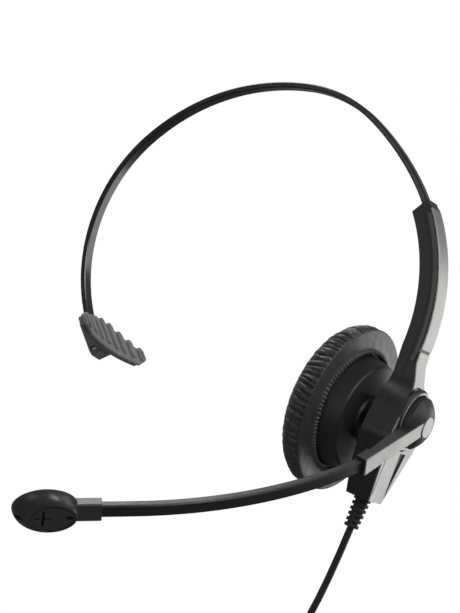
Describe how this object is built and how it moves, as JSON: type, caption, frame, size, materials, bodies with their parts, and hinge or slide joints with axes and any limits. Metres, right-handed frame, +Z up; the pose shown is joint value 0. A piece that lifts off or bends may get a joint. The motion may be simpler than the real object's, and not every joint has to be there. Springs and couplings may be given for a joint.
{
  "type": "office headset",
  "caption": "Single-ear office headset: curved headband with a ribbed rest pad, sliding arm, swivelling padded ear cup, swinging boom with a round microphone, and a cord.",
  "frame": {"origin": "inner face of the headband at the crown, where the band rests on the wearer's head, in the band's middle plane", "axes": "+Z up, +X towards the ear cup's side of the head, -Y the way the wearer faces; the headband lies in the XZ plane"},
  "size_m": [0.1708, 0.1453, 0.2691],
  "materials": {
    "shell_plastic": "satin",
    "band_plastic": "polished",
    "silver_trim": "satin",
    "boom_plastic": "satin",
    "mic_plastic": "satin",
    "pad_rubber": "matt",
    "pad_plastic": "satin",
    "leatherette": "semi-gloss",
    "screen_foam": "open-cell",
    "felt": "matt",
    "steel": "brushed",
    "spring_steel": "bright",
    "brass_pin": "plated",
    "liner_plastic": "natural",
    "board": "solder-masked",
    "cone_film": "thin film",
    "magnet": "plated",
    "cord_rubber": "satin",
    "relief_rubber": "matt"
  },
  "bodies": {
    "headband": {"headband_strip": "band_plastic", "band_stop_pin": "steel", "rest_pad_carrier": "pad_plastic", "rest_pad_latch": "steel", "rest_pad_rubber": "pad_rubber", "rest_pad_pins": "steel"},
    "arm": {"arm_inner_shell": "shell_plastic", "arm_outer_shell": "shell_plastic", "side_rails": "band_plastic", "trim_upper": "silver_trim", "trim_middle": "silver_trim", "trim_lower": "silver_trim", "shell_screws": "steel", "detent_spring": "spring_steel", "terminal_board": "board", "boom_collar": "shell_plastic", "collar_ring": "silver_trim", "ball_stud": "steel", "stud_nut": "steel", "strain_relief": "relief_rubber", "cord_lead": "cord_rubber", "cord_coil": "cord_rubber", "cord_tie": "relief_rubber", "cord_tail": "cord_rubber", "plug_boot": "relief_rubber", "plug_body": "shell_plastic", "plug_contacts": "brass_pin"},
    "boom": {"boom_hub": "shell_plastic", "hub_disc": "silver_trim", "holder_strip": "silver_trim", "pivot_axle": "liner_plastic", "axle_clip": "spring_steel", "friction_washer": "liner_plastic", "boom_tube": "boom_plastic", "mic_neck": "mic_plastic", "mic_shell_front": "mic_plastic", "mic_shell_back": "mic_plastic", "mic_capsule": "steel", "mic_felt": "felt"},
    "ball_liner": {"ball_liner": "liner_plastic"},
    "ear_cup": {"cup_back": "shell_plastic", "liner_retainer": "liner_plastic", "cup_baffle": "shell_plastic", "cup_screws": "steel", "speaker_diaphragm": "cone_film", "speaker_frame": "shell_plastic", "speaker_magnet": "magnet", "foam_screen": "screen_foam", "ear_cushion": "leatherette"}
  },
  "joints": [
    {"name": "size_slide", "type": "hinge", "parent": "headband", "child": "arm", "pos_m": [-0.00036, 0, -0.07263], "axis": [0, 1, 0], "range_deg": [0, 22]},
    {"name": "boom_swing", "type": "hinge", "parent": "arm", "child": "boom", "pos_m": [0.078, 0, -0.097], "axis": [1, 0, 0], "range_deg": [-246, 30]},
    {"name": "cup_swivel", "type": "hinge", "parent": "arm", "child": "ball_liner", "pos_m": [0.06039, -0.0004, -0.10218], "axis": [0, 0, 1], "range_deg": [-8, 8]},
    {"name": "cup_tilt", "type": "hinge", "parent": "ball_liner", "child": "ear_cup", "pos_m": [0.06039, -0.0004, -0.10218], "axis": [0, 1, 0], "range_deg": [-7, 7]}
  ]
}
